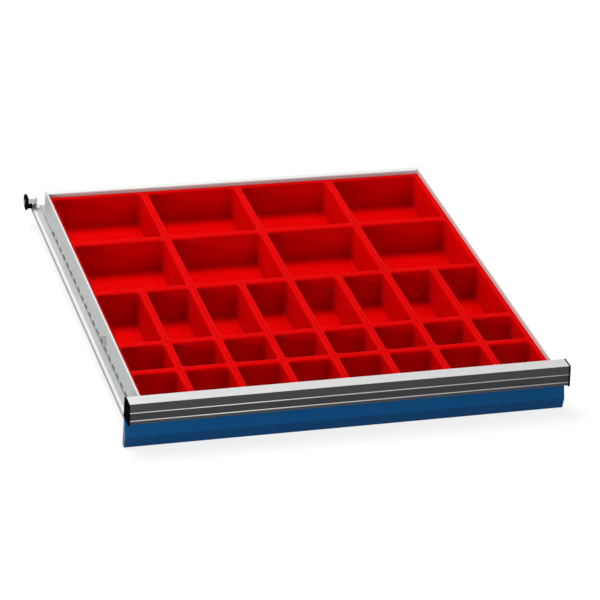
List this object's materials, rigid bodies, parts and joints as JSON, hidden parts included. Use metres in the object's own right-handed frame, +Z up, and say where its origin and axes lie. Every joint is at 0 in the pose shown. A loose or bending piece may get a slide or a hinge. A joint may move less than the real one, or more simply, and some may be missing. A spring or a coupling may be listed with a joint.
{
  "type": "workshop drawer with bin set",
  "caption": "Flat workshop-cabinet drawer with a handle rail, side runner rails and rear rollers, filled by loose square and oblong bins that lift out of a common grid.",
  "frame": {"origin": "middle of the overall box in plan, on the surface that the drawer stands on", "axes": "+Z up, -Y towards the front with the handle, +X to the right seen from the front"},
  "size_m": [0.656, 0.679, 0.075],
  "materials": {
    "bin_plastic": "moulded, semi-gloss red",
    "body_sheet": "powder coat, light grey",
    "front_paint": "powder coat, blue",
    "handle_aluminium": "anodised extrusion, dark leaning face",
    "label_plastic": "blank dark strip",
    "cap_plastic": "moulded, black",
    "rail_steel": "powder coat, light grey",
    "bracket_steel": "zinc plated",
    "axle_steel": "blackened",
    "roller_plastic": "moulded, black"
  },
  "bodies": {
    "drawer": {"floor_sheet": "body_sheet", "side_wall_left": "body_sheet", "side_wall_right": "body_sheet", "rear_wall": "body_sheet", "front_wall": "body_sheet", "front_panel": "front_paint", "handle_rail": "handle_aluminium", "label_strip": "label_plastic", "end_cap_left": "cap_plastic", "end_cap_right": "cap_plastic", "runner_rail_left": "rail_steel", "runner_rail_right": "rail_steel", "roller_bracket_left": "bracket_steel", "roller_bracket_right": "bracket_steel", "roller_axles": "axle_steel"},
    "roller_left_body": {"roller_left": "roller_plastic"},
    "roller_right_body": {"roller_right": "roller_plastic"},
    "large_bin_01_body": {"large_bin_01": "bin_plastic"},
    "large_bin_02_body": {"large_bin_02": "bin_plastic"},
    "large_bin_03_body": {"large_bin_03": "bin_plastic"},
    "large_bin_04_body": {"large_bin_04": "bin_plastic"},
    "large_bin_05_body": {"large_bin_05": "bin_plastic"},
    "large_bin_06_body": {"large_bin_06": "bin_plastic"},
    "large_bin_07_body": {"large_bin_07": "bin_plastic"},
    "large_bin_08_body": {"large_bin_08": "bin_plastic"},
    "long_bin_01_body": {"long_bin_01": "bin_plastic"},
    "long_bin_02_body": {"long_bin_02": "bin_plastic"},
    "long_bin_03_body": {"long_bin_03": "bin_plastic"},
    "long_bin_04_body": {"long_bin_04": "bin_plastic"},
    "long_bin_05_body": {"long_bin_05": "bin_plastic"},
    "long_bin_06_body": {"long_bin_06": "bin_plastic"},
    "long_bin_07_body": {"long_bin_07": "bin_plastic"},
    "long_bin_08_body": {"long_bin_08": "bin_plastic"},
    "small_bin_01_body": {"small_bin_01": "bin_plastic"},
    "small_bin_02_body": {"small_bin_02": "bin_plastic"},
    "small_bin_03_body": {"small_bin_03": "bin_plastic"},
    "small_bin_04_body": {"small_bin_04": "bin_plastic"},
    "small_bin_05_body": {"small_bin_05": "bin_plastic"},
    "small_bin_06_body": {"small_bin_06": "bin_plastic"},
    "small_bin_07_body": {"small_bin_07": "bin_plastic"},
    "small_bin_08_body": {"small_bin_08": "bin_plastic"},
    "small_bin_09_body": {"small_bin_09": "bin_plastic"},
    "small_bin_10_body": {"small_bin_10": "bin_plastic"},
    "small_bin_11_body": {"small_bin_11": "bin_plastic"},
    "small_bin_12_body": {"small_bin_12": "bin_plastic"},
    "small_bin_13_body": {"small_bin_13": "bin_plastic"},
    "small_bin_14_body": {"small_bin_14": "bin_plastic"},
    "small_bin_15_body": {"small_bin_15": "bin_plastic"},
    "small_bin_16_body": {"small_bin_16": "bin_plastic"}
  },
  "joints": [
    {"name": "roller_left_spin", "type": "hinge", "parent": "drawer", "child": "roller_left_body", "pos_m": [-0.32225, 0.32695, 0.0405], "axis": [1, 0, 0], "continuous": true},
    {"name": "roller_right_spin", "type": "hinge", "parent": "drawer", "child": "roller_right_body", "pos_m": [0.32225, 0.32695, 0.018], "axis": [1, 0, 0], "continuous": true},
    {"name": "large_bin_01_lift", "type": "slide", "parent": "drawer", "child": "large_bin_01_body", "axis": [0, 0, 1], "range_m": [0, 0.12]},
    {"name": "large_bin_02_lift", "type": "slide", "parent": "drawer", "child": "large_bin_02_body", "axis": [0, 0, 1], "range_m": [0, 0.12]},
    {"name": "large_bin_03_lift", "type": "slide", "parent": "drawer", "child": "large_bin_03_body", "axis": [0, 0, 1], "range_m": [0, 0.12]},
    {"name": "large_bin_04_lift", "type": "slide", "parent": "drawer", "child": "large_bin_04_body", "axis": [0, 0, 1], "range_m": [0, 0.12]},
    {"name": "large_bin_05_lift", "type": "slide", "parent": "drawer", "child": "large_bin_05_body", "axis": [0, 0, 1], "range_m": [0, 0.12]},
    {"name": "large_bin_06_lift", "type": "slide", "parent": "drawer", "child": "large_bin_06_body", "axis": [0, 0, 1], "range_m": [0, 0.12]},
    {"name": "large_bin_07_lift", "type": "slide", "parent": "drawer", "child": "large_bin_07_body", "axis": [0, 0, 1], "range_m": [0, 0.12]},
    {"name": "large_bin_08_lift", "type": "slide", "parent": "drawer", "child": "large_bin_08_body", "axis": [0, 0, 1], "range_m": [0, 0.12]},
    {"name": "long_bin_01_lift", "type": "slide", "parent": "drawer", "child": "long_bin_01_body", "axis": [0, 0, 1], "range_m": [0, 0.12]},
    {"name": "long_bin_02_lift", "type": "slide", "parent": "drawer", "child": "long_bin_02_body", "axis": [0, 0, 1], "range_m": [0, 0.12]},
    {"name": "long_bin_03_lift", "type": "slide", "parent": "drawer", "child": "long_bin_03_body", "axis": [0, 0, 1], "range_m": [0, 0.12]},
    {"name": "long_bin_04_lift", "type": "slide", "parent": "drawer", "child": "long_bin_04_body", "axis": [0, 0, 1], "range_m": [0, 0.12]},
    {"name": "long_bin_05_lift", "type": "slide", "parent": "drawer", "child": "long_bin_05_body", "axis": [0, 0, 1], "range_m": [0, 0.12]},
    {"name": "long_bin_06_lift", "type": "slide", "parent": "drawer", "child": "long_bin_06_body", "axis": [0, 0, 1], "range_m": [0, 0.12]},
    {"name": "long_bin_07_lift", "type": "slide", "parent": "drawer", "child": "long_bin_07_body", "axis": [0, 0, 1], "range_m": [0, 0.12]},
    {"name": "long_bin_08_lift", "type": "slide", "parent": "drawer", "child": "long_bin_08_body", "axis": [0, 0, 1], "range_m": [0, 0.12]},
    {"name": "small_bin_01_lift", "type": "slide", "parent": "drawer", "child": "small_bin_01_body", "axis": [0, 0, 1], "range_m": [0, 0.12]},
    {"name": "small_bin_02_lift", "type": "slide", "parent": "drawer", "child": "small_bin_02_body", "axis": [0, 0, 1], "range_m": [0, 0.12]},
    {"name": "small_bin_03_lift", "type": "slide", "parent": "drawer", "child": "small_bin_03_body", "axis": [0, 0, 1], "range_m": [0, 0.12]},
    {"name": "small_bin_04_lift", "type": "slide", "parent": "drawer", "child": "small_bin_04_body", "axis": [0, 0, 1], "range_m": [0, 0.12]},
    {"name": "small_bin_05_lift", "type": "slide", "parent": "drawer", "child": "small_bin_05_body", "axis": [0, 0, 1], "range_m": [0, 0.12]},
    {"name": "small_bin_06_lift", "type": "slide", "parent": "drawer", "child": "small_bin_06_body", "axis": [0, 0, 1], "range_m": [0, 0.12]},
    {"name": "small_bin_07_lift", "type": "slide", "parent": "drawer", "child": "small_bin_07_body", "axis": [0, 0, 1], "range_m": [0, 0.12]},
    {"name": "small_bin_08_lift", "type": "slide", "parent": "drawer", "child": "small_bin_08_body", "axis": [0, 0, 1], "range_m": [0, 0.12]},
    {"name": "small_bin_09_lift", "type": "slide", "parent": "drawer", "child": "small_bin_09_body", "axis": [0, 0, 1], "range_m": [0, 0.12]},
    {"name": "small_bin_10_lift", "type": "slide", "parent": "drawer", "child": "small_bin_10_body", "axis": [0, 0, 1], "range_m": [0, 0.12]},
    {"name": "small_bin_11_lift", "type": "slide", "parent": "drawer", "child": "small_bin_11_body", "axis": [0, 0, 1], "range_m": [0, 0.12]},
    {"name": "small_bin_12_lift", "type": "slide", "parent": "drawer", "child": "small_bin_12_body", "axis": [0, 0, 1], "range_m": [0, 0.12]},
    {"name": "small_bin_13_lift", "type": "slide", "parent": "drawer", "child": "small_bin_13_body", "axis": [0, 0, 1], "range_m": [0, 0.12]},
    {"name": "small_bin_14_lift", "type": "slide", "parent": "drawer", "child": "small_bin_14_body", "axis": [0, 0, 1], "range_m": [0, 0.12]},
    {"name": "small_bin_15_lift", "type": "slide", "parent": "drawer", "child": "small_bin_15_body", "axis": [0, 0, 1], "range_m": [0, 0.12]},
    {"name": "small_bin_16_lift", "type": "slide", "parent": "drawer", "child": "small_bin_16_body", "axis": [0, 0, 1], "range_m": [0, 0.12]}
  ]
}
